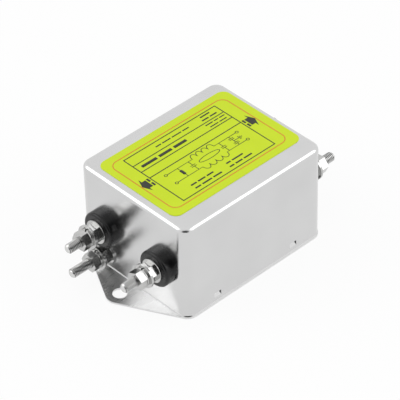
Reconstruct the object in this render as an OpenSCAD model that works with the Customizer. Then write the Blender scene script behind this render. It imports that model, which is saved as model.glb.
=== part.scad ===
// Single-phase EMI line filter in a drawn steel can on a flanged base plate.
// Origin: middle of the base plate's underside. +X runs from the line end,
// which also has the earth stud, to the load end. +Z is up.

/* [Can] */
// Length of the can, end face to end face
can_l = 72; // [66:1:90]
// Width of the can
can_w = 58; // [52:1:70]
// Height of the case, from the plate's underside to the can's top
case_h = 43.5; // [40:0.5:60]
// Sheet thickness of the can
can_wall = 0.8; // [0.5:0.1:1.2]
// Radius of the four upright corners
can_corner_r = 4.5; // [3.5:0.5:7]
// Radius of the drawn edge round the top
can_edge_r = 2; // [1.4:0.2:3]
// Height of the flare that the trimming leaves round the can's foot
foot_h = 0.6; // [0.4:0.1:1.2]
// How far that flare stands out
foot_out = 0.25; // [0.2:0.05:0.6]

/* [Base plate] */
// Sheet thickness of the base plate
plate_t = 0.8; // [0.6:0.1:1.5]
// Distance between the two mounting holes
ear_pitch = 87; // [84:1:100]
// Diameter of the mounting holes
ear_hole_d = 5.8; // [4.3:0.1:6.6]
// Radius of the ear's nose round the hole
ear_nose_r = 5.6; // [5:0.1:8]

/* [Locks] */
// Distance of each lock from the middle of the can's long side
lock_x = 20; // [12:1:24]
// Height of the lock's middle above the plate's underside
lock_z = 4.1; // [3.8:0.1:6]
// Width of the tongue pressed into the can's wall
lock_w = 3.2; // [2:0.2:5]
// Height of that tongue
lock_h = 2.2; // [1.6:0.2:3]
// How far the tongue's tip is pressed in
lock_push = 1.2; // [1:0.1:1.5]
// Gap that the shear leaves beside and above the tongue
shear_gap = 0.1; // [0.05:0.05:0.2]
// Width of the tab that stands up from the plate behind a lock
tab_w = 9; // [7:0.5:12]
// Height of the tab's top edge above the plate's underside
tab_h = 9; // [8:0.5:12]
// Inside radius of the tab's bend
tab_bend_r = 0.5; // [0.4:0.1:1]
// Gap between the tab's bend and the can's inner wall
tab_gap = 0.05; // [0.02:0.01:0.1]
// Space round the tongue in the tab's window
tab_slack = 0.4; // [0.3:0.1:0.6]

/* [Terminals] */
// Height of the four insulated bolts
stud_z = 20; // [17:0.5:24]
// Distance of each insulated bolt from the can's long side
stud_side = 13.5; // [11:0.5:14.5]
// Outside diameter of the bolts' threads
stud_d = 4; // [3:0.5:5]
// Gap between a bolt and the bores it passes through
bore_gap = 0.1; // [0.05:0.05:0.3]
// Gap between bolt and nut, on the radius
thread_gap = 0.05; // [0.02:0.01:0.1]
// Shank length of the insulated bolts
line_bolt_l = 25; // [22:0.5:30]
// Shank length of the earth bolt
earth_bolt_l = 20; // [16:0.5:25]
// Width across flats of nuts and bolt heads
nut_af = 7; // [6:0.5:8]
// Thickness of a nut
nut_t = 3.2; // [2.2:0.1:4]
// Thickness of a bolt head
head_t = 2.8; // [2:0.1:3.5]

/* [Washers] */
// Outer diameter of the flat washers
washer_d = 10; // [9:0.5:11]
// Thickness of the washer under a clamping nut
clamp_washer_t = 0.8; // [0.5:0.1:1.2]
// Thickness of the washer that takes the cable lug
end_washer_t = 1; // [0.5:0.1:1.2]
// Outer diameter of the spring washer
spring_d = 7.6; // [7:0.1:8]
// Thickness of the spring washer, pressed flat
spring_t = 0.9; // [0.6:0.1:1.2]
// Width of the spring washer's split
spring_split = 0.6; // [0.4:0.1:1]

/* [Insulators] */
// Diameter of the moulded bushing outside the can
bushing_d = 15.2; // [13:0.2:17]
// How far that bushing stands out from the can
bushing_proud = 4; // [3:0.5:6]
// Radius of the bushing's outer edge
bushing_edge_r = 1.1; // [0.5:0.1:1.5]
// Diameter of the spigot that passes through the can
spigot_d = 7.8; // [7:0.1:9]
// How far the spigot reaches past the wall, inside
spigot_reach = 1.2; // [0.8:0.1:2]
// Gap round the spigot
spigot_gap = 0.1; // [0.05:0.05:0.2]
// Diameter of the insulating bush inside the can
inner_bush_d = 13; // [11:0.5:15]
// Thickness of that bush
inner_bush_t = 4.7; // [3.5:0.1:6]
// Space between the bushing's rim and the earth stud's washers
earth_clear = 0.3; // [0.1:0.1:1]

/* [Solder lugs] */
// Sheet thickness of a solder lug
lug_t = 0.5; // [0.4:0.1:0.8]
// Diameter of the lug's ring
lug_ring_d = 8; // [7:0.5:9]
// Width of the lug's tail
lug_tail_w = 3; // [2:0.5:4]
// Distance from the bolt to the end of the tail
lug_reach = 11; // [10:0.5:12]
// Thickness of the washer under the earth bolt's head
earth_inner_t = 0.8; // [0.5:0.1:1.2]

/* [Label] */
// Length of the label
label_l = 66; // [50:0.5:68]
// Width of the label
label_w = 43.2; // [30:0.2:54]
// Corner radius of the label
label_r = 3.6; // [1:0.2:6]
// Thickness of the label
label_t = 0.15; // [0.1:0.05:0.3]
// Shift of the label along the can
label_x = 0.5; // [-1:0.1:1]
// Shift of the label across the can
label_y = 1; // [-1:0.1:1]
// Thickness of the print
ink_t = 0.04; // [0.02:0.01:0.1]
// Distance of the red border line from the label's edge
border_in = 3.4; // [2:0.1:4]
// Width of the red border line
border_line = 0.3; // [0.2:0.05:1]
// Shift of the print on the label, along the can
print_x = -0.4; // [-1:0.1:1]
// Length of the printed frame
frame_l = 47.6; // [40:0.2:50]
// Width of the printed frame
frame_w = 33.2; // [28:0.2:36]
// Width of the black lines
ink_line = 0.4; // [0.2:0.05:1]
// Width of the arrow heads
arrow_w = 8; // [4:0.5:10]
// Length of an arrow, tip to tail
arrow_l = 3.5; // [2:0.1:5]
// Gap between an arrow's tip and the border
arrow_clear = 0.1; // [0.1:0.1:1]

/* [Circuit board] */
// Gap between the board's long edges and the liner
board_gap = 1.2; // [0.6:0.1:2]
// Gap between the board's end and the earth bolt's head
board_end_gap = 0.6; // [0.4:0.1:1]
// Thickness of the board
board_t = 1.6; // [1:0.1:2]
// Height of the spacers under the board
spacer_h = 3; // [2.5:0.5:4]
// Diameter of the spacers
spacer_d = 5; // [4:0.5:6]
// Distance of the spacers from the board's edges
spacer_in = 3.5; // [3:0.5:5]
// Thickness of the insulating liner
liner_t = 0.4; // [0.2:0.1:0.6]
// Height of the liner's sides
liner_h = 16; // [10:1:24]
// How far the component leads reach below the board
lead_tail = 1.2; // [0.8:0.1:1.6]
// Gap round a lead in its hole in the board
hole_gap = 0.15; // [0.1:0.05:0.3]

/* [Choke] */
// Outer diameter of the ring core
core_od = 30; // [26:1:30]
// Inner diameter of the ring core
core_id = 17; // [15:0.5:18]
// Height of the ring core
core_h = 16; // [10:1:20]
// Radius of the core's edges
core_edge_r = 1.2; // [0.8:0.2:2]
// Wire diameter of the windings
wire_d = 1.5; // [1:0.1:1.6]
// Turns of each winding
turns = 9; // [5:1:9]
// Angle from one turn to the next, in degrees
turn_step = 14; // [13:0.5:15]
// Gap between the wire and the core
wind_gap = 0.15; // [0.1:0.05:0.3]
// Thickness of the choke's base
choke_base_t = 1.6; // [1:0.2:3]
// Thickness of the divider between the windings
divider_t = 1.6; // [1:0.2:3]

/* [Capacitors and resistor] */
// Space along the board's edge beyond the X capacitors, besides the Y capacitor in it
xcap_end = 3; // [3:0.5:5]
// Thickness of an X capacitor
xcap_t = 8.5; // [6:0.5:8.5]
// Height of an X capacitor
xcap_h = 15; // [10:1:20]
// Distance of an X capacitor's leads from its ends
xcap_lead_in = 1.75; // [1.5:0.25:3]
// Distance of the X capacitors from the middle of the board
xcap_x = 22.3; // [22:0.1:22.4]
// Diameter of a Y capacitor
ycap_d = 9; // [7:0.5:9]
// Thickness of a Y capacitor
ycap_t = 3.6; // [3:0.2:5]
// Pitch of a Y capacitor's leads
ycap_pitch = 5; // [4:0.5:6]
// Distance between a Y capacitor and the board's long edge
ycap_edge = 1; // [0.5:0.1:1.4]
// Length of the resistor's body
resistor_l = 7; // [6:0.5:7]
// Diameter of the resistor's body
resistor_d = 3.2; // [2:0.2:4]
// Diameter of the component leads
lead_d = 0.8; // [0.6:0.1:1]
// Diameter of the leads to the terminals
feed_d = 1.2; // [1:0.1:1.4]

/* [Hidden] */
$fn = 64;

steel = "gainsboro";
bright = "silver";
black = [0.12, 0.12, 0.13];

// Ends of the case: the line end is -1 and the load end is +1.
LINE = -1;
LOAD = 1;
// Every insulated terminal as [end, side].
terminals = [[LINE, 1], [LINE, -1], [LOAD, 1], [LOAD, -1]];
// How far each nut was turned when it was tightened: the terminals in order, then the earth bolt.
clamp_turns = [30, 42, 15, 55, 30];
end_turns = [38, -7, 50, 25, 30];
// The earth stud hangs below the line bolt on the +Y side, clear of its bushing.
earth_z = stud_z - bushing_d / 2 - washer_d / 2 - earth_clear;

in_l = can_l - 2 * can_wall;
in_w = can_w - 2 * can_wall;
foot_lip = foot_h / 4;
// The plate's edge lines up with the can's flared foot.
plate_l = can_l + 2 * foot_out;
plate_w = can_w + 2 * foot_out;
plate_corner_r = can_corner_r + foot_out;
stud_y = can_w / 2 - stud_side;
stud_hole_d = spigot_d + 2 * spigot_gap;
// Threads are plain here. The free end of a bolt has the thread's outside diameter,
// and inside the stack bolt and nuts meet at the thread's pitch diameter.
pitch_d = 0.88 * stud_d;
earth_hole_d = stud_d + 2 * bore_gap;

// Stack of each terminal, measured outwards from the can's end face.
lug_face = -can_wall - inner_bush_t;
head_face = lug_face - lug_t;
earth_head_face = -can_wall - lug_t - earth_inner_t;
function seat(insulated) = insulated ? bushing_proud : 0;
function nut1(insulated) = seat(insulated) + clamp_washer_t;
function washer2(insulated) = nut1(insulated) + nut_t;
function spring(insulated) = washer2(insulated) + end_washer_t;
function nut2(insulated) = spring(insulated) + spring_t;
function stack_end(insulated) = nut2(insulated) + nut_t;

// Outside of the red border.
border_l = label_l - 2 * border_in;
border_w = label_w - 2 * border_in;

// Heights inside the case.
liner_top = plate_t + liner_t;
board_z = liner_top + spacer_h;
board_top = board_z + board_t;
lead_end = board_z - lead_tail;

// The tabs are bent up just inside the can's long walls, out of windows in the plate.
tab_bend_y = in_w / 2 - tab_gap;
tab_face = tab_bend_y - tab_bend_r;
liner_w = 2 * (tab_face - plate_t - tab_gap);

// The board fills the liner, and what stands on it follows its edges.
board_w = liner_w - 2 * liner_t - 2 * board_gap;
board_l = 2 * (can_l / 2 + earth_head_face - head_t - board_end_gap);
xcap_l = board_w - 2 * (ycap_d + xcap_end);
xcap_pitch = xcap_l - 2 * xcap_lead_in;
ycap_y = board_w / 2 - ycap_d / 2 - ycap_edge;

// ---- Shared shapes ----

module rounded_rect(l, w, r) {
    square([l, w - 2 * r], center = true);
    square([l - 2 * r, w], center = true);
    for (x = [-1, 1], y = [-1, 1])
        translate([x * (l / 2 - r), y * (w / 2 - r)]) circle(r);
}

// Upright outline of a block with its two top corners rounded and its foot flared.
module arch(w, h, r) {
    translate([-w / 2, 0]) square([w, h - r]);
    for (s = [0, 1]) mirror([s, 0]) translate([w / 2, 0]) foot_flare();
    translate([-w / 2 + r, 0]) square([w - 2 * r, h]);
    for (s = [-1, 1]) translate([s * (w / 2 - r), h - r]) circle(r);
}

// Section of the flare beyond a wall at x = 0: a short upright lip under a slope.
module foot_flare() {
    polygon([[-foot_out, 0], [foot_out, 0], [foot_out, foot_lip], [0, foot_h], [-foot_out, foot_h]]);
}

// Drawn shape: upright corners of radius rc, a top edge of radius re, and the flared foot.
module drawn_block(l, w, h, rc, re) {
    rotate([90, 0, 90]) linear_extrude(l - 2 * rc, center = true) arch(w, h, re);
    rotate([90, 0, 0]) linear_extrude(w - 2 * rc, center = true) arch(l, h, re);
    for (x = [-1, 1], y = [-1, 1])
        translate([x * (l / 2 - rc), y * (w / 2 - rc), 0]) rotate_extrude() {
            square([rc, h - re]);
            square([rc - re, h]);
            translate([rc, 0]) foot_flare();
            translate([rc - re, h - re]) intersection() {
                circle(re);
                square(re);
            }
        }
}

// Puts children on an end face, with their +Z pointing outwards.
module on_end(end, y, z) {
    translate([end * can_l / 2, y, z]) rotate([0, end * 90, 0]) children();
}

module on_terminal(t) {
    on_end(t[0], t[1] * stud_y, stud_z) children();
}

module on_earth() {
    on_end(LINE, stud_y, earth_z) children();
}

// Repeats children on every bolt: $insulated says whether it has a bushing.
module on_every_bolt() {
    for (i = [0 : len(terminals) - 1]) on_terminal(terminals[i]) {
        $insulated = true;
        $bolt = i;
        children();
    }
    on_earth() {
        $insulated = false;
        $bolt = len(terminals);
        children();
    }
}

module tube(od, id, h) {
    difference() {
        cylinder(d = od, h = h);
        translate([0, 0, -1]) cylinder(d = id, h = h + 2);
    }
}

// Hexagon with its corners turned off at 30 degrees, on one face or on both.
module hex_block(af, h, both) {
    corner = af / sqrt(3);
    cut = tan(30);
    reach = corner * 0.96;
    intersection() {
        cylinder(r = corner, h = h, $fn = 6);
        union() {
            translate([0, 0, h / 2])
                cylinder(r1 = reach + h / 2 / cut, r2 = reach, h = h / 2);
            if (both) cylinder(r1 = reach, r2 = reach + h / 2 / cut, h = h / 2);
            else cylinder(r = corner + 1, h = h / 2);
        }
    }
}

// Bolt of length l: hex head below z = 0, shank upwards, free end from z = free to a chamfered tip.
module bolt(l, free) {
    tip = stud_d * 0.15;
    rotate([180, 0, 0]) hex_block(nut_af, head_t, false);
    cylinder(d = pitch_d, h = free);
    translate([0, 0, free]) cylinder(d = stud_d, h = l - tip - free);
    translate([0, 0, l - tip]) cylinder(d1 = stud_d, d2 = stud_d - 2 * tip, h = tip);
}

module nut() {
    bore = pitch_d + 2 * thread_gap;
    mouth = stud_d * 0.1;
    difference() {
        hex_block(nut_af, nut_t, true);
        translate([0, 0, -1]) cylinder(d = bore, h = nut_t + 2);
        translate([0, 0, -0.01])
            cylinder(d1 = bore + 2 * mouth, d2 = bore, h = mouth);
        translate([0, 0, nut_t - mouth])
            cylinder(d1 = bore, d2 = bore + 2 * mouth, h = mouth + 0.01);
    }
}

// ---- Case ----

// The can is one drawn piece: five end holes, and four tongues lanced and pressed in.
module can() {
    foot = lock_z - lock_h / 2;
    tip = lock_h - shear_gap;
    // The inside is cut from below the can's foot, past the flare of its own shape.
    below = 2 * foot_h;
    // The tongue's foot is sunk by this much into the wall below it.
    root = 0.01;
    color(steel) {
        difference() {
            translate([0, 0, plate_t])
                drawn_block(can_l, can_w, case_h - plate_t, can_corner_r, can_edge_r);
            translate([0, 0, plate_t - below])
                drawn_block(in_l, in_w, case_h - plate_t - can_wall + below,
                    can_corner_r - can_wall, can_edge_r - can_wall);
            for (t = terminals) on_terminal(t)
                cylinder(d = stud_hole_d, h = 4 * can_wall, center = true);
            on_earth() cylinder(d = earth_hole_d, h = 4 * can_wall, center = true);
            for (x = [-1, 1], y = [-1, 1])
                translate([x * lock_x, y * (can_w - can_wall) / 2, lock_z])
                    cube([lock_w + 2 * shear_gap, 3 * can_wall, lock_h], center = true);
        }
        for (x = [-1, 1], y = [0, 1]) mirror([0, y, 0])
            translate([x * lock_x, can_w / 2, foot])
                rotate([90, 0, 90]) linear_extrude(lock_w, center = true)
                    polygon([[0, -root], [-can_wall, -root],
                        [-can_wall - lock_push, tip], [-lock_push, tip]]);
    }
}

// One ear in plan: straight flanks, tangent to the plate's corners and to the round nose.
module ear_plan() {
    nose = [ear_pitch / 2, 0];
    corner = [plate_l / 2, plate_w / 2] - plate_corner_r * [1, 1];
    run = nose - corner;
    a = atan2(run.y, run.x) + acos((plate_corner_r - ear_nose_r) / norm(run));
    outward = [cos(a), sin(a)];
    p = corner + plate_corner_r * outward;
    q = nose + ear_nose_r * outward;
    polygon([[0, p.y], p, q, [q.x, -q.y], [p.x, -p.y], [0, -p.y]]);
    translate(nose) circle(ear_nose_r);
}

// Section across a tab: a foot in the plate, the bend, and the upright leg.
module tab_section() {
    outer_r = plate_t + tab_bend_r;
    translate([tab_bend_y, 0]) square([in_w / 2 - tab_bend_y, plate_t]);
    translate([tab_bend_y, outer_r]) difference() {
        intersection() {
            circle(outer_r);
            translate([-outer_r, -outer_r]) square(outer_r);
        }
        circle(tab_bend_r);
    }
    translate([tab_face - plate_t, outer_r]) square([plate_t, tab_h - outer_r]);
}

// The plate is one stamping: two ears, and four tabs lanced and bent up inside the can.
module base_plate() {
    window_w = tab_w + plate_t;
    color(bright) {
        linear_extrude(plate_t) difference() {
            union() {
                rounded_rect(plate_l, plate_w, plate_corner_r);
                ear_plan();
                mirror([1, 0]) ear_plan();
            }
            for (s = [-1, 1]) translate([s * ear_pitch / 2, 0]) circle(d = ear_hole_d);
            for (x = [-1, 1], y = [0, 1]) mirror([0, y])
                translate([x * lock_x - window_w / 2, tab_bend_y - tab_h])
                    square([window_w, tab_h]);
        }
        for (x = [-1, 1], y = [0, 1]) mirror([0, y, 0]) difference() {
            translate([x * lock_x, 0, 0]) rotate([90, 0, 90])
                linear_extrude(tab_w, center = true) tab_section();
            translate([x * lock_x, tab_face, lock_z])
                cube([lock_w + 2 * tab_slack, 4 * plate_t, lock_h + 2 * tab_slack], center = true);
        }
    }
}

// ---- Label ----

module on_label() {
    translate([label_x, label_y, case_h]) children();
}

module printed() {
    on_label() translate([print_x, 0, label_t]) linear_extrude(ink_t) children();
}

module label() {
    color("yellowgreen") on_label()
        linear_extrude(label_t) rounded_rect(label_l, label_w, label_r);
}

module label_border() {
    color("orangered") printed() difference() {
        rounded_rect(border_l, border_w, label_r);
        rounded_rect(border_l - 2 * border_line, border_w - 2 * border_line,
            label_r - border_line);
    }
}

// Arrow head on a short tail, its tip at the origin, pointing to +X.
module arrow() {
    tail = arrow_w * 0.55;
    neck = -arrow_l * 0.5;
    polygon([[0, 0], [neck, arrow_w / 2], [neck, tail / 2], [-arrow_l, tail / 2],
        [-arrow_l, -tail / 2], [neck, -tail / 2], [neck, -arrow_w / 2]]);
}

module label_print() {
    rows = [0.16, 0.3, 0.44];
    tip = border_l / 2 - border_line - arrow_clear;
    color(black) printed() {
        difference() {
            square([frame_l, frame_w], center = true);
            square([frame_l - 2 * ink_line, frame_w - 2 * ink_line], center = true);
        }
        for (r = rows) translate([0, frame_w * (0.5 - r)])
            square([frame_l - ink_line, ink_line], center = true);
        for (s = [0, 1]) mirror([s, 0]) translate([tip, 0]) arrow();
    }
}

// ---- Terminals ----

// Black moulded bushing: rounded flange outside, spigot through the wall.
module bushing(t) {
    r = bushing_d / 2;
    e = bushing_edge_r;
    color(black) on_terminal(t) difference() {
        union() {
            rotate_extrude() {
                square([r, bushing_proud - e]);
                square([r - e, bushing_proud]);
                translate([r - e, bushing_proud - e]) circle(e);
            }
            translate([0, 0, -can_wall - spigot_reach])
                cylinder(d = spigot_d, h = can_wall + spigot_reach + 0.5);
        }
        translate([0, 0, -can_wall - spigot_reach - 1])
            cylinder(d = stud_d + 2 * bore_gap, h = bushing_proud + can_wall + spigot_reach + 2);
    }
}

// Insulating bush inside the can, recessed to take the spigot.
module inner_bush(t) {
    depth = spigot_reach + spigot_gap;
    color("ivory") on_terminal(t) translate([0, 0, lug_face]) difference() {
        cylinder(d = inner_bush_d, h = inner_bush_t);
        translate([0, 0, -1]) cylinder(d = stud_d + 2 * bore_gap, h = inner_bush_t + 2);
        translate([0, 0, inner_bush_t - depth]) cylinder(d = stud_hole_d, h = depth + 1);
    }
}

module line_bolt(t) {
    color(bright) on_terminal(t) translate([0, 0, head_face])
        bolt(line_bolt_l, stack_end(true) - head_face);
}

module earth_bolt() {
    color(bright) on_earth() translate([0, 0, earth_head_face])
        bolt(earth_bolt_l, stack_end(false) - earth_head_face);
}

module clamp_washers() {
    color(bright) on_every_bolt() translate([0, 0, seat($insulated)])
        tube(washer_d, stud_d + 4 * bore_gap, clamp_washer_t);
}

module clamp_nuts() {
    color(bright) on_every_bolt() translate([0, 0, nut1($insulated)])
        rotate([0, 0, clamp_turns[$bolt]]) nut();
}

module end_washers() {
    color(bright) on_every_bolt() translate([0, 0, washer2($insulated)])
        tube(washer_d, stud_d + 4 * bore_gap, end_washer_t);
}

// Split ring of square section; the split runs slantwise through the ring.
module spring_washers() {
    color(bright) on_every_bolt() translate([0, 0, spring($insulated)]) difference() {
        tube(spring_d, stud_d + 2 * bore_gap, spring_t);
        translate([spring_d / 3, 0, spring_t / 2]) rotate([35, 0, 0])
            cube([spring_d / 2, spring_split, 4 * spring_t], center = true);
    }
}

module end_nuts() {
    color(bright) on_every_bolt() translate([0, 0, nut2($insulated)])
        rotate([0, 0, end_turns[$bolt]]) nut();
}

// Ring lug with a round-ended tail and a hole for the lead.
module lug() {
    linear_extrude(lug_t) difference() {
        union() {
            circle(d = lug_ring_d);
            translate([0, -lug_tail_w / 2]) square([lug_reach - lug_tail_w / 2, lug_tail_w]);
            translate([lug_reach - lug_tail_w / 2, 0]) circle(d = lug_tail_w);
        }
        circle(d = stud_d + 2 * bore_gap);
        translate([lug_reach - lug_tail_w / 2, 0]) circle(d = lug_tail_w / 2.5, $fn = 24);
    }
}

// The tail of an insulated lug hangs down to the board.
module line_lug(t) {
    down = t[0] == LOAD ? 0 : 180;
    color("khaki") on_terminal(t) translate([0, 0, head_face]) rotate([0, 0, down]) lug();
}

// The earth lug's tail points to the middle of the width.
module earth_lug() {
    color("khaki") on_earth() translate([0, 0, -can_wall - lug_t])
        rotate([0, 0, -90]) lug();
}

module earth_inner_washer() {
    color(bright) on_earth() translate([0, 0, earth_head_face])
        tube(washer_d - 1, stud_d + 4 * bore_gap, earth_inner_t);
}

// ---- Inside ----

// Insulating sheet folded up along both long walls.
module liner() {
    l = in_l - 2;
    color("tan") {
        translate([-l / 2, -liner_w / 2, plate_t]) cube([l, liner_w, liner_t]);
        for (s = [0, 1]) mirror([0, s, 0])
            translate([-l / 2, liner_w / 2 - liner_t, plate_t]) cube([l, liner_t, liner_h]);
    }
}

spacer_at = [for (x = [-1, 1], y = [-1, 1])
    [x * (board_l / 2 - spacer_in), y * (board_w / 2 - spacer_in)]];
peg_d = spacer_d * 0.5;

module board_spacers() {
    color("ghostwhite") for (p = spacer_at) translate([p.x, p.y, liner_top]) {
        cylinder(d = spacer_d, h = spacer_h);
        cylinder(d = peg_d, h = spacer_h + board_t + 0.8);
    }
}

// Places of the leads in the board, each as [x, y].
feed_x = can_l / 2 + head_face - feed_d / 2;
feed_at = [for (t = terminals) [t[0] * feed_x, t[1] * stud_y]];
xcap_at = [for (s = [-1, 1], y = [-1, 1]) [s * xcap_x, y * xcap_pitch / 2]];
ycap_at = [for (y = [-1, 1], k = [-1, 1]) [xcap_x, y * ycap_y + k * ycap_pitch / 2]];
resistor_span = resistor_l + 2 * lead_d + 1;
resistor_mid = [-xcap_x, -(xcap_l / 2 + lead_d + resistor_span / 2)];
resistor_at = [for (k = [-1, 1]) resistor_mid + [0, k * resistor_span / 2]];
lug_end_y = stud_y - lug_reach + lug_tail_w / 2;
earth_at = [-board_l / 2 + 2, lug_end_y];

module circuit_board() {
    color("peru") translate([0, 0, board_z]) linear_extrude(board_t) difference() {
        square([board_l, board_w], center = true);
        for (p = spacer_at) translate(p) circle(d = peg_d + 2 * hole_gap, $fn = 24);
        for (p = concat(feed_at, [earth_at]))
            translate(p) circle(d = feed_d + 2 * hole_gap, $fn = 24);
        for (p = concat(xcap_at, ycap_at, resistor_at))
            translate(p) circle(d = lead_d + 2 * hole_gap, $fn = 24);
        for (s = [1, -1], a = leg_angles)
            rotate(s == 1 ? a : a + 180) translate([wind_out, 0])
                circle(d = wire_d + 2 * hole_gap, $fn = 24);
    }
}

// Wire path round the core, in the plane through its axis.
wind_out = core_od / 2 + wind_gap + wire_d / 2;
wind_in = core_id / 2 - wind_gap - wire_d / 2;
core_z = board_top + choke_base_t + wire_d + 2 * wind_gap;
wind_low = core_z - wind_gap - wire_d / 2;
wind_top = core_z + core_h + wind_gap + wire_d / 2;
wind_bend = wire_d * 0.7;
leg_angles = [90 - turns * turn_step / 2, 90 + turns * turn_step / 2];
one_turn = [[wind_out, wind_low + wind_bend], [wind_out, wind_top - wind_bend],
    [wind_out - wind_bend, wind_top], [wind_in + wind_bend, wind_top],
    [wind_in, wind_top - wind_bend], [wind_in, wind_low + wind_bend],
    [wind_in + wind_bend, wind_low], [wind_out - wind_bend, wind_low]];
n_turn = len(one_turn);

// Path of one winding: a leg up, the turns, and a leg down, as [radius, height, angle].
wind_path = concat(
    [[wind_out, lead_end, leg_angles[0]]],
    [for (k = [0 : turns - 1], j = [0 : n_turn - 1])
        [one_turn[j].x, one_turn[j].y, leg_angles[0] + turn_step * (k + j / n_turn)]],
    [[wind_out, wind_low - wind_bend, leg_angles[1]], [wind_out, lead_end, leg_angles[1]]]);

function polar(p) = [p[0] * cos(p[2]), p[0] * sin(p[2]), p[1]];
function unit(v) = v / norm(v);

// Tube of round wire swept along a path of [radius, height, angle].
module swept_wire(path, d, sides) {
    n = len(path);
    pts = [for (p = path) polar(p)];
    ring = function (i)
        let (t = unit(pts[min(i + 1, n - 1)] - pts[max(i - 1, 0)]),
            round = [-sin(path[i][2]), cos(path[i][2]), 0],
            u = unit(round - (round * t) * t),
            v = cross(t, u))
        [for (k = [0 : sides - 1])
            pts[i] + d / 2 * (cos(360 * k / sides) * u + sin(360 * k / sides) * v)];
    vertices = [for (i = [0 : n - 1]) each ring(i)];
    walls = [for (i = [0 : n - 2], k = [0 : sides - 1])
        let (a = i * sides + k, b = i * sides + (k + 1) % sides)
        [a, a + sides, b + sides, b]];
    caps = [[for (k = [0 : sides - 1]) k],
        [for (k = [sides - 1 : -1 : 0]) (n - 1) * sides + k]];
    polyhedron(vertices, concat(walls, caps), convexity = 10);
}

module winding(side) {
    color("sienna") rotate([0, 0, side == 1 ? 0 : 180]) swept_wire(wind_path, wire_d, 8);
}

module choke_core() {
    wall = (core_od - core_id) / 2;
    color("dimgray") translate([0, 0, core_z + core_h / 2]) rotate_extrude()
        translate([(core_od + core_id) / 4, 0]) rounded_rect(wall, core_h, core_edge_r);
}

// Round base that carries the choke, with the divider that parts the windings.
module choke_base() {
    r = core_id / 2 - 0.3;
    color("ivory") translate([0, 0, board_top]) {
        cylinder(d = core_od - 1, h = choke_base_t);
        translate([0, 0, (choke_base_t + wind_top + 1 - board_top) / 2])
            cube([2 * sqrt(r * r - divider_t * divider_t / 4), divider_t,
                wind_top + 1 - board_top - choke_base_t + choke_base_t], center = true);
    }
}

module lead_pin(p, top) {
    translate([p.x, p.y, lead_end]) cylinder(d = lead_d, h = top - lead_end, $fn = 24);
}

// Boxed film capacitor standing on the board.
module x_capacitor(end) {
    color("goldenrod") {
        translate([end * xcap_x, 0, board_top]) linear_extrude(xcap_h)
            rounded_rect(xcap_t, xcap_l, 0.8);
        for (y = [-1, 1]) lead_pin([end * xcap_x, y * xcap_pitch / 2], board_top + 1);
    }
}

// Coated disc capacitor on two leads, its bead just above the board.
module y_capacitor(side) {
    lift = 1;
    color("royalblue") {
        translate([xcap_x, side * ycap_y, board_top + lift + ycap_d / 2]) rotate([0, 90, 0])
            translate([0, 0, -ycap_t / 2]) rotate_extrude() {
                square([ycap_d / 2 - ycap_t / 2, ycap_t]);
                translate([ycap_d / 2 - ycap_t / 2, ycap_t / 2]) intersection() {
                    circle(ycap_t / 2);
                    translate([0, -ycap_t]) square(2 * ycap_t);
                }
            }
        for (k = [-1, 1])
            lead_pin([xcap_x, side * ycap_y + k * ycap_pitch / 2], board_top + lift + ycap_d / 2);
    }
}

// Resistor lying on the board, with its leads bent down through it.
module bleed_resistor() {
    z = board_top + resistor_d / 2;
    bend = lead_d;
    reach = resistor_span / 2 - bend;
    color("lightblue") translate([resistor_mid.x, resistor_mid.y, 0]) {
        translate([0, 0, z]) rotate([90, 0, 0]) {
            cylinder(d = resistor_d - 0.4, h = resistor_l, center = true);
            for (s = [-1, 1]) translate([0, 0, s * (resistor_l / 2 - 1)])
                cylinder(d = resistor_d, h = 2, center = true);
            cylinder(d = lead_d, h = 2 * reach, center = true, $fn = 24);
        }
        for (s = [0, 1]) mirror([0, s, 0]) {
            translate([0, reach, z - bend]) rotate([90, 0, 90])
                rotate_extrude(angle = 90) translate([bend, 0]) circle(d = lead_d, $fn = 24);
            translate([0, resistor_span / 2, lead_end])
                cylinder(d = lead_d, h = z - bend - lead_end, $fn = 24);
        }
    }
}

// Straight leads from the board up along the lugs' tails, where they are soldered.
module feed_leads() {
    top = stud_z - lug_reach + lug_tail_w;
    color("peru") for (p = feed_at) translate([p.x, p.y, lead_end])
        cylinder(d = feed_d, h = top - lead_end, $fn = 24);
}

// Earth lead: from the lug's tail along the end wall, then down into the board.
module earth_lead() {
    x0 = -can_l / 2 + can_wall + lug_t;
    bend = feed_d;
    color("peru") {
        translate([x0, lug_end_y, earth_z]) rotate([0, 90, 0])
            cylinder(d = feed_d, h = earth_at.x - bend - x0, $fn = 24);
        translate([earth_at.x - bend, lug_end_y, earth_z - bend]) rotate([90, 0, 0])
            rotate_extrude(angle = 90) translate([bend, 0]) circle(d = feed_d, $fn = 24);
        translate([earth_at.x, lug_end_y, lead_end])
            cylinder(d = feed_d, h = earth_z - bend - lead_end, $fn = 24);
    }
}

can();
base_plate();
label();
label_border();
label_print();
bushing(terminals[0]);  // line_bushing_a
bushing(terminals[1]);  // line_bushing_b
bushing(terminals[2]);  // load_bushing_a
bushing(terminals[3]);  // load_bushing_b
inner_bush(terminals[0]);  // line_inner_bush_a
inner_bush(terminals[1]);  // line_inner_bush_b
inner_bush(terminals[2]);  // load_inner_bush_a
inner_bush(terminals[3]);  // load_inner_bush_b
line_bolt(terminals[0]);  // line_bolt_a
line_bolt(terminals[1]);  // line_bolt_b
line_bolt(terminals[2]);  // load_bolt_a
line_bolt(terminals[3]);  // load_bolt_b
earth_bolt();
clamp_washers();
clamp_nuts();
end_washers();
spring_washers();
end_nuts();
line_lug(terminals[0]);  // line_lug_a
line_lug(terminals[1]);  // line_lug_b
line_lug(terminals[2]);  // load_lug_a
line_lug(terminals[3]);  // load_lug_b
earth_lug();
earth_inner_washer();
liner();
board_spacers();
circuit_board();
choke_base();
choke_core();
winding(1);  // winding_a
winding(-1);  // winding_b
x_capacitor(LINE);  // x_capacitor_line
x_capacitor(LOAD);  // x_capacitor_load
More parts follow.
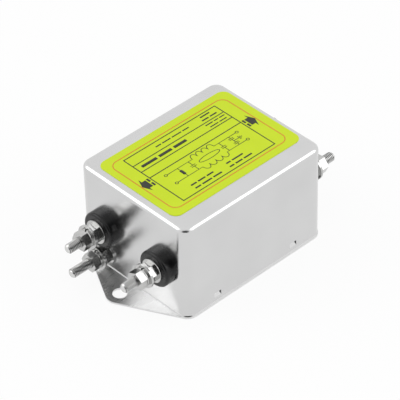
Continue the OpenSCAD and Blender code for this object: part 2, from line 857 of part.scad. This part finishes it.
y_capacitor(1);  // y_capacitor_a
y_capacitor(-1);  // y_capacitor_b
bleed_resistor();
feed_leads();
earth_lead();
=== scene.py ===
import math

import bpy
from mathutils import Matrix


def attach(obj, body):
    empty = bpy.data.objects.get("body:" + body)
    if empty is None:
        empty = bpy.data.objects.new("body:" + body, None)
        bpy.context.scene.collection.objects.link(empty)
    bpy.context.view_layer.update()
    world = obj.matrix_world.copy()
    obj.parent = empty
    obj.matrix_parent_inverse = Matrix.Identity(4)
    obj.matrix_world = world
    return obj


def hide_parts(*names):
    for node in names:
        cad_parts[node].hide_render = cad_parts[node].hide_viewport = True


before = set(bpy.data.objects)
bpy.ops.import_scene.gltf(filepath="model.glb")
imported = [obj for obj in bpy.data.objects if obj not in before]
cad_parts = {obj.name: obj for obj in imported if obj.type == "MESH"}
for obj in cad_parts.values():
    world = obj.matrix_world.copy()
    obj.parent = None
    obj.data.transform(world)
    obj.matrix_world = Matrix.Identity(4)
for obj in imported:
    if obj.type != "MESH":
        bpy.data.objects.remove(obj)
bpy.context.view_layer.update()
bpy.ops.object.select_all(action="DESELECT")

# ---- Camera ----
# A long lens that looks down at the line end and one long side. Its place, turn and focal
# length were fitted to the can's edges and corners.

bpy.ops.object.camera_add(
    location=(-0.50152, -0.54241, 0.63948),
    rotation=[math.radians(a) for a in (50.0508, 1.1246, -43.6329)],
)
camera = bpy.context.object
camera.data.sensor_width = 36
camera.data.lens = 227.5
camera.data.clip_end = 10
bpy.context.scene.camera = camera

# ---- Studio ----
# White paper under and behind the filter, a soft box at each side, and one dark patch of the
# room, low behind the camera, which gives the bright metal its dark streaks.


def linear(hex_code):
    """An sRGB hex value as a linear colour."""
    parts = [int(hex_code[i : i + 2], 16) / 255 for i in (1, 3, 5)]
    return [p / 12.92 if p <= 0.04045 else ((p + 0.055) / 1.055) ** 2.4 for p in parts] + [1]


def add_node(tree, kind, inputs, **settings):
    """Adds a node. Each input is a value, or another node's output to link."""
    node = tree.nodes.new(kind)
    for key, value in settings.items():
        setattr(node, key, value)
    for key, value in inputs.items():
        if isinstance(value, bpy.types.NodeSocket):
            tree.links.new(value, node.inputs[key])
        else:
            node.inputs[key].default_value = value
    return node


bpy.context.scene.view_settings.view_transform = "Standard"

world = bpy.data.worlds.new("studio")
bpy.context.scene.world = world
world.use_nodes = True
sky = world.node_tree
sky.nodes.clear()
# The dark patch: its direction, the cosines at which it begins and is darkest, and how dark.
patch_way = (-0.62, -0.72, 0.31)
patch_edge = 0.78
patch_core = 0.95
patch_level = 0.05
# How brightly the room lights a matt surface.
fill_level = 0.8
direction = add_node(sky, "ShaderNodeTexCoord", {})
towards = add_node(
    sky, "ShaderNodeVectorMath", {0: direction.outputs["Generated"], 1: patch_way},
    operation="DOT_PRODUCT",
)
room = add_node(
    sky, "ShaderNodeMapRange",
    {
        "Value": towards.outputs["Value"],
        "From Min": patch_edge, "From Max": patch_core, "To Min": 1.0, "To Max": patch_level,
    },
    interpolation_type="SMOOTHSTEP",
)
rays = add_node(sky, "ShaderNodeLightPath", {})
lit = add_node(
    sky, "ShaderNodeMix",
    {0: rays.outputs["Is Diffuse Ray"], 2: room.outputs[0], 3: fill_level},
)
seen = add_node(
    sky, "ShaderNodeMath",
    {0: rays.outputs["Is Camera Ray"], 1: rays.outputs["Is Transmission Ray"]},
    operation="MAXIMUM",
)
level = add_node(sky, "ShaderNodeMix", {0: seen.outputs[0], 2: lit.outputs[0], 3: 1.0})
background = add_node(
    sky, "ShaderNodeBackground", {"Color": (1, 1, 1, 1), "Strength": level.outputs[0]}
)
add_node(sky, "ShaderNodeOutputWorld", {"Surface": background.outputs[0]})

elevation = 33
lamp_distance = 0.9
for azimuth in (-55, 137):
    a, e = math.radians(azimuth), math.radians(elevation)
    way = (math.cos(e) * math.cos(a), math.cos(e) * math.sin(a), math.sin(e))
    bpy.ops.object.light_add(
        type="AREA",
        location=[lamp_distance * c for c in way],
        rotation=(math.radians(90 - elevation), 0, math.radians(azimuth + 90)),
    )
    lamp = bpy.context.object.data
    lamp.shape = "SQUARE"
    lamp.size = 0.6
    lamp.energy = 1.7

bpy.ops.mesh.primitive_plane_add(size=6, location=(0, 0, 0))
floor = bpy.context.object
floor.name = "floor"
paper = bpy.data.materials.new("white_paper_sweep")
paper.use_nodes = True
tree = paper.node_tree
tree.nodes.clear()
matt = add_node(tree, "ShaderNodeBsdfDiffuse", {"Color": linear("#F4F4F4")})
glow = add_node(tree, "ShaderNodeEmission", {"Color": (1, 1, 1, 1), "Strength": 1.0})
rays = add_node(tree, "ShaderNodeLightPath", {})
eye = add_node(
    tree, "ShaderNodeMath",
    {0: rays.outputs["Is Camera Ray"], 1: rays.outputs["Is Glossy Ray"]},
    operation="MAXIMUM",
)
eye = add_node(
    tree, "ShaderNodeMath", {0: eye.outputs[0], 1: rays.outputs["Is Transmission Ray"]},
    operation="MAXIMUM",
)
# The rest of the paper's look stays matt, so that it keeps the filter's shadow.
glow_share = 0.9
share = add_node(
    tree, "ShaderNodeMath", {0: eye.outputs[0], 1: glow_share}, operation="MULTIPLY"
)
blend = add_node(
    tree, "ShaderNodeMixShader",
    {0: share.outputs[0], 1: matt.outputs[0], 2: glow.outputs[0]},
)
add_node(tree, "ShaderNodeOutputMaterial", {"Surface": blend.outputs[0]})
floor.data.materials.append(paper)

# ---- Can ----
# Deep-drawn from steel sheet in one piece, with a small flared foot, holes punched in both
# ends and four tongues lanced in its long sides, then tumbled and plated.


def new_material(name, **inputs):
    """A material with a Principled shader set to these inputs, with its tree and shader."""
    material = bpy.data.materials.new(name)
    material.use_nodes = True
    shader = material.node_tree.nodes["Principled BSDF"]
    for key, value in inputs.items():
        shader.inputs[key.replace("_", " ")].default_value = value
    return material, material.node_tree, shader


def spots_of(tree, size, detail, stretch):
    """Soft spots of this size in metres, fixed to the piece."""
    place = add_node(tree, "ShaderNodeTexCoord", {})
    drawn = add_node(
        tree, "ShaderNodeMapping", {"Vector": place.outputs["Object"], "Scale": stretch}
    )
    spots = add_node(
        tree, "ShaderNodeTexNoise",
        {"Vector": drawn.outputs[0], "Scale": 1 / size, "Detail": detail},
    )
    return spots.outputs[0]


def vary(tree, socket, size, low, high, detail=2.0, stretch=(1, 1, 1)):
    """Lets a socket drift between two values or two colours, in soft spots of this size.
    Nearly all of the noise lies between 0.3 and 0.7, so that range is what is spread out."""
    share = add_node(
        tree, "ShaderNodeMapRange",
        {"Value": spots_of(tree, size, detail, stretch), "From Min": 0.3, "From Max": 0.7},
    )
    if socket.type == "RGBA":
        between = {0: share.outputs[0], 6: low, 7: high}
        mixed = add_node(tree, "ShaderNodeMix", between, data_type="RGBA").outputs[2]
    else:
        between = {0: share.outputs[0], 2: low, 3: high}
        mixed = add_node(tree, "ShaderNodeMix", between).outputs[0]
    tree.links.new(mixed, socket)


def emboss(tree, shader, size, depth, detail=2.0, stretch=(1, 1, 1)):
    """Raises the surface in bumps of this size and depth in metres."""
    height = spots_of(tree, size, detail, stretch)
    bump = add_node(
        tree, "ShaderNodeBump", {"Height": height, "Strength": 1.0, "Distance": depth}
    )
    tree.links.new(bump.outputs[0], shader.inputs["Normal"])


def dress(material, *names):
    """Gives CAD nodes a material."""
    for name in names:
        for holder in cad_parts[name].material_slots:
            holder.material = material


# Satin nickel plate on tumbled steel: a grey veil over soft reflections, with faint clouds
# 15 to 20 mm across from handling. The grain of the tumbling, 0.1 mm, is drawn 0.3 mm wide.
satin, tree, shader = new_material("satin_nickel_plate", Metallic=1.0)
vary(tree, shader.inputs["Base Color"], 0.02, linear("#CFCFCF"), linear("#D4D4D4"))
vary(tree, shader.inputs["Roughness"], 0.015, 0.2, 0.25, detail=3.0)
emboss(tree, shader, 0.0003, 0.0000008)
dress(satin, "can")

# ---- Base plate ----
# Stamped and bent from steel sheet, then plated bright. Its ears carry the bolt-down holes,
# and four tabs bent up from it lock behind the tongues pressed into the can.

# Bright nickel plate on rolled sheet: clearer than the can, with the roll's fine streaks
# along its length, 0.2 mm apart and drawn 0.4 mm apart.
plate, tree, shader = new_material("bright_nickel_plate", Metallic=0.9)
vary(tree, shader.inputs["Base Color"], 0.006, linear("#D8D8D8"), linear("#E0E0E0"))
vary(tree, shader.inputs["Roughness"], 0.0004, 0.26, 0.34, stretch=(0.04, 1, 1))
emboss(tree, shader, 0.0004, 0.0000006, stretch=(0.04, 1, 1))
dress(plate, "base_plate")

# ---- Label ----
# A rectangle of printed polyester film with an adhesive back, laid on the top of the can.
# Screen-printed: a red border line, then a black frame, arrows, circuit and captions.

# Gloss polyester film over fluorescent yellow-green: even in colour, with a clear sheen
# that breaks a little where the adhesive under it is uneven, every 2 mm or so.
film, tree, shader = new_material("polyester_label_film", Specular_IOR_Level=0.35)
vary(tree, shader.inputs["Base Color"], 0.008, linear("#C6DC0C"), linear("#CAE012"))
vary(tree, shader.inputs["Roughness"], 0.002, 0.32, 0.4)
emboss(tree, shader, 0.002, 0.000001)
dress(film, "label")

# Red screen ink: semi-opaque, so the film tints it where the layer is thin.
red, tree, shader = new_material("red_screen_ink")
vary(tree, shader.inputs["Base Color"], 0.0015, linear("#D34F26"), linear("#DE5A2E"))
vary(tree, shader.inputs["Roughness"], 0.0005, 0.36, 0.46)
dress(red, "label_border")

# Black screen ink: dense, with a dull sheen and a greenish cast where it is thin.
ink, tree, shader = new_material("black_screen_ink")
vary(tree, shader.inputs["Base Color"], 0.0008, linear("#15170E"), linear("#232613"))
vary(tree, shader.inputs["Roughness"], 0.0005, 0.36, 0.46)
dress(ink, "label_print")

# The rest of the black print: a filter's usual circuit between two rails, and plain dashes
# where captions go. These three are in metres: the middle of the printed frame, and the
# ink's two faces, of which the lower is just down in the film.
print_centre = (0.0001, 0.001)
print_low = 0.04364
print_top = 0.04369
# All else in the print is in millimetres from that middle.
line_w = 0.3
upper = -1.2
lower = -7.2
between_rails = -4.2
ring_x = 18.4
ring_r = 0.6
plate_reach = 1.2
strokes = []


def stroke(width, *points):
    """Adds a printed line of this width through these points."""
    strokes.append((width, points))


def arc(middle, radii, start, end, steps=12):
    """Points along part of an ellipse, from one angle in degrees to another."""
    turns = [math.radians(start + (end - start) * i / steps) for i in range(steps + 1)]
    return [
        (middle[0] + radii[0] * math.cos(t), middle[1] + radii[1] * math.sin(t)) for t in turns
    ]


# The rails, each from ring to ring with one winding of the choke in it, and the core.
turns_drawn = 4
for rail, first, last, bulge in ((upper, -4.8, 6.4, 2.2), (lower, -5.1, 7.5, -2.2)):
    for end in (-ring_x, ring_x):
        stroke(line_w, *arc((end, rail), (ring_r, ring_r), 0, 360))
    loop = (last - first) / turns_drawn
    wound = [(ring_r - ring_x, rail)]
    for i in range(turns_drawn):
        wound += arc((first + loop * (i + 0.5), rail), (loop / 2, bulge), 180, 0)
    stroke(line_w, *wound, (ring_x - ring_r, rail))
stroke(line_w, *arc((1.2, between_rails), (5.2, 1.3), 0, 360, steps=32))

# The two capacitors across the rails.
upper_plate = -3.8
lower_plate = -4.6
for x in (-7, 8.8):
    stroke(line_w, (x, upper), (x, upper_plate))
    stroke(line_w, (x - plate_reach, upper_plate), (x + plate_reach, upper_plate))
    stroke(line_w, (x - plate_reach, lower_plate), (x + plate_reach, lower_plate))
    stroke(line_w, (x, lower_plate), (x, lower))

# The bleed resistor.
bleed_x = -12.5
bleed_top = -2.8
bleed_low = -5.6
stroke(line_w, (bleed_x, upper), (bleed_x, bleed_top))
stroke(1.3, (bleed_x, bleed_top), (bleed_x, bleed_low))
stroke(line_w, (bleed_x, bleed_low), (bleed_x, lower))

# The two capacitors from the rails to earth, and the earth sign.
earth_x = 14
for rail, way in ((upper, -1), (lower, 1)):
    near, far = rail + 1.2 * way, rail + 1.9 * way
    stroke(line_w, (earth_x, rail), (earth_x, near))
    stroke(line_w, (earth_x - plate_reach, near), (earth_x + plate_reach, near))
    stroke(line_w, (earth_x - plate_reach, far), (earth_x + plate_reach, far))
    stroke(line_w, (earth_x, far), (earth_x, between_rails))
stroke(line_w, (earth_x, between_rails), (16.8, between_rails))
for x, reach in ((16.8, 1.1), (17.4, 0.7), (18, 0.3)):
    stroke(line_w, (x, between_rails - reach), (x, between_rails + reach))

# Rows of dashes: how far up each row is, how thick it is, and where each dash starts and ends.
captions = (
    (15.0, 0.7, ((14.6, 19.4),)),
    (13.0, 0.7, ((13.8, 17.2), (17.9, 21.4))),
    (13.9, 0.6, ((-9.5, -6.8), (-6.1, -1.9), (-1.2, 3.6), (4.3, 7.6))),
    (9.9, 0.55, ((12.6, 16.4), (17.1, 19.2), (19.9, 22.6))),
    (8.1, 0.55, ((13.4, 17.6), (18.3, 22.0))),
    (8.9, 1.4, ((-21.2, -13.6), (-12.4, -6.0), (-4.8, 1.6))),
    (-12.0, 0.75, ((-15.7, -12.9), (-12.1, -8.4), (-7.6, -4.3))),
    (-14.3, 0.75, ((-15.6, -12.8), (-12.0, -7.2), (-6.4, -2.1))),
    (-12.0, 0.75, ((2.4, 4.6), (5.4, 11.0))),
    (-14.3, 0.75, ((2.1, 4.3), (5.1, 8.6), (9.4, 13.5))),
)
for y, height, words in captions:
    for start, end in words:
        stroke(height, (start, y), (end, y))
# Two dashes beside each arrow.
for x in (-24.8, 24.8):
    stroke(0.9, (x, -2.4), (x, -0.4))
    stroke(0.9, (x, 0.4), (x, 2.4))

# Each stroke is a bar with four sides. Its lowest and highest points go to the ink's faces.
level = 1e-5
drawing = bpy.data.curves.new("label-circuit", "CURVE")
drawing.dimensions = "3D"
drawing.bevel_depth = 1.0
drawing.bevel_resolution = 0
drawing.use_fill_caps = True
for width, points in strokes:
    spline = drawing.splines.new("POLY")
    spline.points.add(len(points) - 1)
    for point, (x, y) in zip(spline.points, points):
        point.co = (x, y, 0, 1)
        point.radius = width / 2
circuit = bpy.data.objects.new("label-circuit", drawing)
bpy.context.collection.objects.link(circuit)
bpy.context.view_layer.objects.active = circuit
circuit.select_set(True)
bpy.ops.object.convert(target="MESH")
circuit = bpy.context.object
for corner in circuit.data.vertices:
    x, y, z = corner.co
    corner.co = (
        print_centre[0] + x / 1000,
        print_centre[1] + y / 1000,
        print_low if z < -level else print_top if z > level else (print_low + print_top) / 2,
    )
circuit.select_set(False)
circuit.data.materials.clear()
circuit.data.materials.append(ink)
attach(circuit, "root")

# ---- Bushings ----
# One stepped collar for each insulated terminal, injection-moulded in black nylon, which
# keeps the bolt and its nuts clear of the can. A spigot on it passes through the end wall.

# Black moulded nylon: deep black with a soft sheen that is duller in places, and a fine
# texture from the mould, 0.15 mm and drawn 0.3 mm wide.
moulding, tree, shader = new_material("black_moulded_nylon", Specular_IOR_Level=0.38)
vary(tree, shader.inputs["Base Color"], 0.003, linear("#060607"), linear("#0A0A0C"))
vary(tree, shader.inputs["Roughness"], 0.004, 0.24, 0.32)
emboss(tree, shader, 0.0003, 0.000003)


# Points closer than this, in metres, are the same point.
hair = 1e-6


def open_copy(name):
    """A copy of a CAD node for looks, selected and in edit mode, with its doubles merged."""
    copy = bpy.data.objects.new(name.replace("_", "-"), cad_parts[name].data.copy())
    bpy.context.collection.objects.link(copy)
    bpy.context.view_layer.objects.active = copy
    copy.select_set(True)
    bpy.ops.object.mode_set(mode="EDIT")
    bpy.ops.mesh.select_all(action="SELECT")
    bpy.ops.mesh.remove_doubles(threshold=hair)
    return copy


def smooth_copy(name, bevel, material):
    """A copy that stands for a CAD node, with its edges eased by a bevel of this width and
    even shading on its flat faces."""
    copy = open_copy(name)
    bpy.ops.mesh.dissolve_limited(angle_limit=math.radians(0.5))
    bpy.ops.object.mode_set(mode="OBJECT")
    if bevel:
        edge = copy.modifiers.new("edge", "BEVEL")
        edge.width = bevel
        edge.segments = 2
        edge.limit_method = "ANGLE"
        edge.angle_limit = math.radians(28)
        bpy.ops.object.modifier_apply(modifier="edge")
    bpy.ops.object.shade_smooth_by_angle(angle=math.radians(32))
    even = copy.modifiers.new("even", "WEIGHTED_NORMAL")
    even.keep_sharp = True
    bpy.ops.object.modifier_apply(modifier="even")
    copy.select_set(False)
    copy.data.materials.clear()
    copy.data.materials.append(material)
    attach(copy, "root")
    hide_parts(name)


for name in ("line_bushing_a", "line_bushing_b", "load_bushing_a", "load_bushing_b"):
    smooth_copy(name, 0, moulding)

# ---- Nuts and washers ----
# Every bolt has the same stack: a washer and a nut that clamp it to the wall, then a flat
# washer, a split spring washer and a nut for the cable's lug. All are turned or stamped
# steel, so each edge is slightly rounded where the tumbling and the plating took it.

# Bright nickel on small turned parts: clear reflections, softened by turning marks and by
# the plating's own unevenness, 0.8 mm wide.
nickel, tree, shader = new_material("bright_nickel_hardware", Metallic=1.0)
vary(tree, shader.inputs["Base Color"], 0.002, linear("#B9B9B8"), linear("#C4C4C3"))
vary(tree, shader.inputs["Roughness"], 0.0008, 0.12, 0.18)
emboss(tree, shader, 0.0008, 0.0000015)

edge_round = 0.0001
for name in ("clamp_washers", "clamp_nuts", "end_washers", "spring_washers", "end_nuts"):
    smooth_copy(name, edge_round, nickel)

# ---- Bolts ----
# Five M4 bolts, headed from steel wire, with their threads rolled, then plated. The head of
# each is inside the can. Only the free end shows its thread, so the rest stays plain.

# The same bright nickel, with painted shade down in the thread: the deeper in the groove, the
# darker the colour, standing in for the shade that falls in the roots.
threaded, tree, shader = new_material("bright_nickel_thread", Metallic=1.0)
# Painted shade: each point's depth in the thread's groove darkens its colour towards the root.
depth = add_node(tree, "ShaderNodeAttribute", {}, attribute_name="thread_root_shade")
tone = add_node(
    tree, "ShaderNodeMix",
    {0: depth.outputs["Fac"], 6: linear("#D2D2D1"), 7: linear("#2E2E2D")}, data_type="RGBA",
)
tree.links.new(tone.outputs[2], shader.inputs["Base Color"])
vary(tree, shader.inputs["Roughness"], 0.0008, 0.1, 0.15)

# An M4 thread, in metres: its pitch, its radius at the crest and at the root, and the radius
# of the chamfered tip. Pitch and depth are true, but a true crest is a thin line, so it is
# drawn as 0.4 of the pitch, with steeper flanks that take 0.42 of it.
pitch = 0.0007
crest = 0.00199
root = crest - 0.6134 * pitch
crest_share = 0.4
flank_share = 0.42
tip_radius = 0.0014
rings_in_pitch = 8
# The drawn thread starts this far inside the nut's mouth, and the plain shank ends this far
# inside it, so that neither shows an end.
thread_lap = 0.0002
shank_lap = 0.0001
# Each bolt: the end of the can that it is at, its place across and up, and how far from the
# end wall its free end begins and stops.
end_wall = 0.036
bolts = {
    "line_bolt_a": (-1, 0.0155, 0.02, 0.0131, 0.019),
    "line_bolt_b": (-1, -0.0155, 0.02, 0.0131, 0.019),
    "load_bolt_a": (1, 0.0155, 0.02, 0.0131, 0.019),
    "load_bolt_b": (1, -0.0155, 0.02, 0.0131, 0.019),
    "earth_bolt": (-1, 0.0155, 0.0071, 0.0091, 0.0179),
}
for name, (end, side, height, free, tip) in bolts.items():
    start = free - thread_lap
    bpy.ops.mesh.primitive_cylinder_add(
        vertices=48, radius=crest, depth=tip - start, location=(0, 0, (start + tip) / 2)
    )
    thread = bpy.context.object
    bpy.ops.object.transform_apply(location=True)
    bpy.ops.object.mode_set(mode="EDIT")
    bpy.ops.mesh.select_mode(type="EDGE")
    bpy.ops.mesh.select_all(action="DESELECT")
    bpy.ops.object.mode_set(mode="OBJECT")
    for line in thread.data.edges:
        low, high = (thread.data.vertices[i].co.z for i in line.vertices)
        line.select = abs(high - low) > pitch
    bpy.ops.object.mode_set(mode="EDIT")
    bpy.ops.mesh.subdivide(number_cuts=int((tip - start) / pitch * rings_in_pitch))
    bpy.ops.object.mode_set(mode="OBJECT")
    # How deep each point lies in the groove, 0 at the crest and 1 at the root, kept for the
    # painted shade.
    root_shade_mask = thread.data.attributes.new("thread_root_shade", "FLOAT", "POINT")
    for corner in thread.data.vertices:
        x, y, z = corner.co
        turn = (z / pitch - math.atan2(y, x) / math.tau) % 1
        flank = min(max((abs(turn - 0.5) * 2 - crest_share) / flank_share, 0), 1)
        radius = min(crest - (crest - root) * flank, tip_radius + (tip - z))
        corner.co = (x / crest * radius, y / crest * radius, z)
        root_shade_mask.data[corner.index].value = flank if radius > root - hair else 0
    thread.matrix_world = (
        Matrix.Translation((end * end_wall, side, height))
        @ Matrix.Rotation(end * math.pi / 2, 4, "Y")
    )
    bpy.ops.object.transform_apply(location=True, rotation=True)
    thread.select_set(False)

    shank = open_copy(name)
    bpy.ops.mesh.bisect(
        plane_co=(end * (end_wall + free - shank_lap), 0, 0), plane_no=(end, 0, 0),
        use_fill=True, clear_outer=True,
    )
    bpy.ops.object.mode_set(mode="OBJECT")
    thread.select_set(True)
    bpy.ops.object.join()
    bpy.ops.object.shade_smooth_by_angle(angle=math.radians(30))
    shank.data.materials.clear()
    shank.data.materials.append(threaded)
    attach(shank, "root")
    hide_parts(name)
    bpy.ops.object.select_all(action="DESELECT")

# ---- Inner bushes, lugs and earth washer ----
# Behind the wall at each insulated terminal, a white moulded bush takes the bushing's
# spigot, and a solder lug lies under the bolt's head. The earth bolt has a lug and a washer.

# Natural nylon: milky white that is slightly yellow in places, with a soft moulded skin.
natural, tree, shader = new_material("natural_moulded_nylon", Subsurface_Weight=0.1)
vary(tree, shader.inputs["Base Color"], 0.003, linear("#EAE6DA"), linear("#DFD9C8"))
vary(tree, shader.inputs["Roughness"], 0.002, 0.4, 0.52)
emboss(tree, shader, 0.0003, 0.000003)
dress(
    natural,
    "line_inner_bush_a", "line_inner_bush_b", "load_inner_bush_a", "load_inner_bush_b",
)

# Tinned brass strip: a warm silver grey with dull patches where the dip ran.
tinned, tree, shader = new_material("tinned_brass_strip", Metallic=1.0)
vary(tree, shader.inputs["Base Color"], 0.002, linear("#CFCCC4"), linear("#BFBBAF"))
vary(tree, shader.inputs["Roughness"], 0.0015, 0.25, 0.42)
emboss(tree, shader, 0.001, 0.000002)
dress(tinned, "line_lug_a", "line_lug_b", "load_lug_a", "load_lug_b", "earth_lug")
dress(nickel, "earth_inner_washer")

# ---- Liner and spacers ----
# A folded sheet of pressboard keeps the circuit off the plate and the walls. Four moulded
# nylon spacers clip into the board and hold it up.

# Electrical pressboard: dull tan with fibres and flecks, 0.5 mm across, all through it.
pressboard, tree, shader = new_material("tan_pressboard")
vary(
    tree, shader.inputs["Base Color"], 0.0005, linear("#C9AE80"), linear("#B89868"), detail=6.0
)
vary(tree, shader.inputs["Roughness"], 0.001, 0.75, 0.9)
emboss(tree, shader, 0.0004, 0.00001, detail=6.0)
dress(pressboard, "liner")
dress(natural, "board_spacers")

# ---- Circuit board ----
# Glass-epoxy laminate, routed to size and drilled, with a green solder resist over it. It
# stands on the spacers and carries every part of the circuit.

# Solder resist on glass cloth: even green gloss, with the weave just felt, 0.5 mm apart.
resist, tree, shader = new_material("green_solder_resist")
vary(tree, shader.inputs["Base Color"], 0.004, linear("#3C5C28"), linear("#46682F"))
vary(tree, shader.inputs["Roughness"], 0.0005, 0.3, 0.4)
emboss(tree, shader, 0.0005, 0.000004)
dress(resist, "circuit_board")

# ---- Choke ----
# A coated ferrite ring on a moulded base whose upright divider keeps its two windings apart.
# Each winding is one length of thick enamelled wire, wound by hand through the ring.

# Epoxy-coated ferrite: near-black, sprayed, with a slight orange peel 0.8 mm wide.
ferrite, tree, shader = new_material("epoxy_coated_ferrite")
vary(tree, shader.inputs["Base Color"], 0.002, linear("#28282B"), linear("#333336"))
vary(tree, shader.inputs["Roughness"], 0.0015, 0.4, 0.55)
emboss(tree, shader, 0.0008, 0.00001)
dress(ferrite, "choke_core")

# Enamelled copper wire: brown-red metal under clear varnish, darker in patches.
enamel, tree, shader = new_material("enamelled_copper_wire", Metallic=0.85, Coat_Weight=0.6)
vary(tree, shader.inputs["Base Color"], 0.003, linear("#A4532A"), linear("#8A4120"))
vary(tree, shader.inputs["Roughness"], 0.002, 0.2, 0.32)
dress(enamel, "winding_a", "winding_b")
dress(natural, "choke_base")

# ---- Capacitors and resistor ----
# Two box film capacitors across the lines, two ceramic discs to earth, and a bleed resistor,
# all soldered through the board.

# Moulded polyester case: ochre yellow, semi-matt, with the mould's spark texture 0.3 mm wide.
ochre, tree, shader = new_material("ochre_moulded_case")
vary(tree, shader.inputs["Base Color"], 0.003, linear("#D8B13A"), linear("#E2BC48"))
vary(tree, shader.inputs["Roughness"], 0.001, 0.42, 0.54)
emboss(tree, shader, 0.0003, 0.000006)
dress(ochre, "x_capacitor_line", "x_capacitor_load")

# Dipped epoxy: blue gloss that pooled unevenly, so its tone drifts.
dip, tree, shader = new_material("blue_dipped_epoxy")
vary(tree, shader.inputs["Base Color"], 0.003, linear("#2F5FB0"), linear("#27519C"))
vary(tree, shader.inputs["Roughness"], 0.001, 0.22, 0.34)
emboss(tree, shader, 0.0015, 0.00002)
dress(dip, "y_capacitor_a", "y_capacitor_b")

# Resistor lacquer: pale blue, thinly dipped, with a dull gloss.
lacquer, tree, shader = new_material("pale_blue_lacquer")
vary(tree, shader.inputs["Base Color"], 0.001, linear("#8FB4C6"), linear("#9DBFCE"))
vary(tree, shader.inputs["Roughness"], 0.0008, 0.35, 0.5)
emboss(tree, shader, 0.0008, 0.00001)
dress(lacquer, "bleed_resistor")

# ---- Leads ----
# Tinned copper wires from the board to the terminals' lugs and to the earth lug, soldered
# at both ends.

# Tinned copper: soft grey-white metal, drawn along its length, so its sheen is streaky.
wire, tree, shader = new_material("tinned_copper_wire", Metallic=1.0)
vary(tree, shader.inputs["Base Color"], 0.001, linear("#C8C7C2"), linear("#B6B4AD"))
vary(tree, shader.inputs["Roughness"], 0.0005, 0.25, 0.4, stretch=(1, 1, 0.1))
emboss(tree, shader, 0.0005, 0.000001, stretch=(1, 1, 0.1))
dress(wire, "feed_leads", "earth_lead")
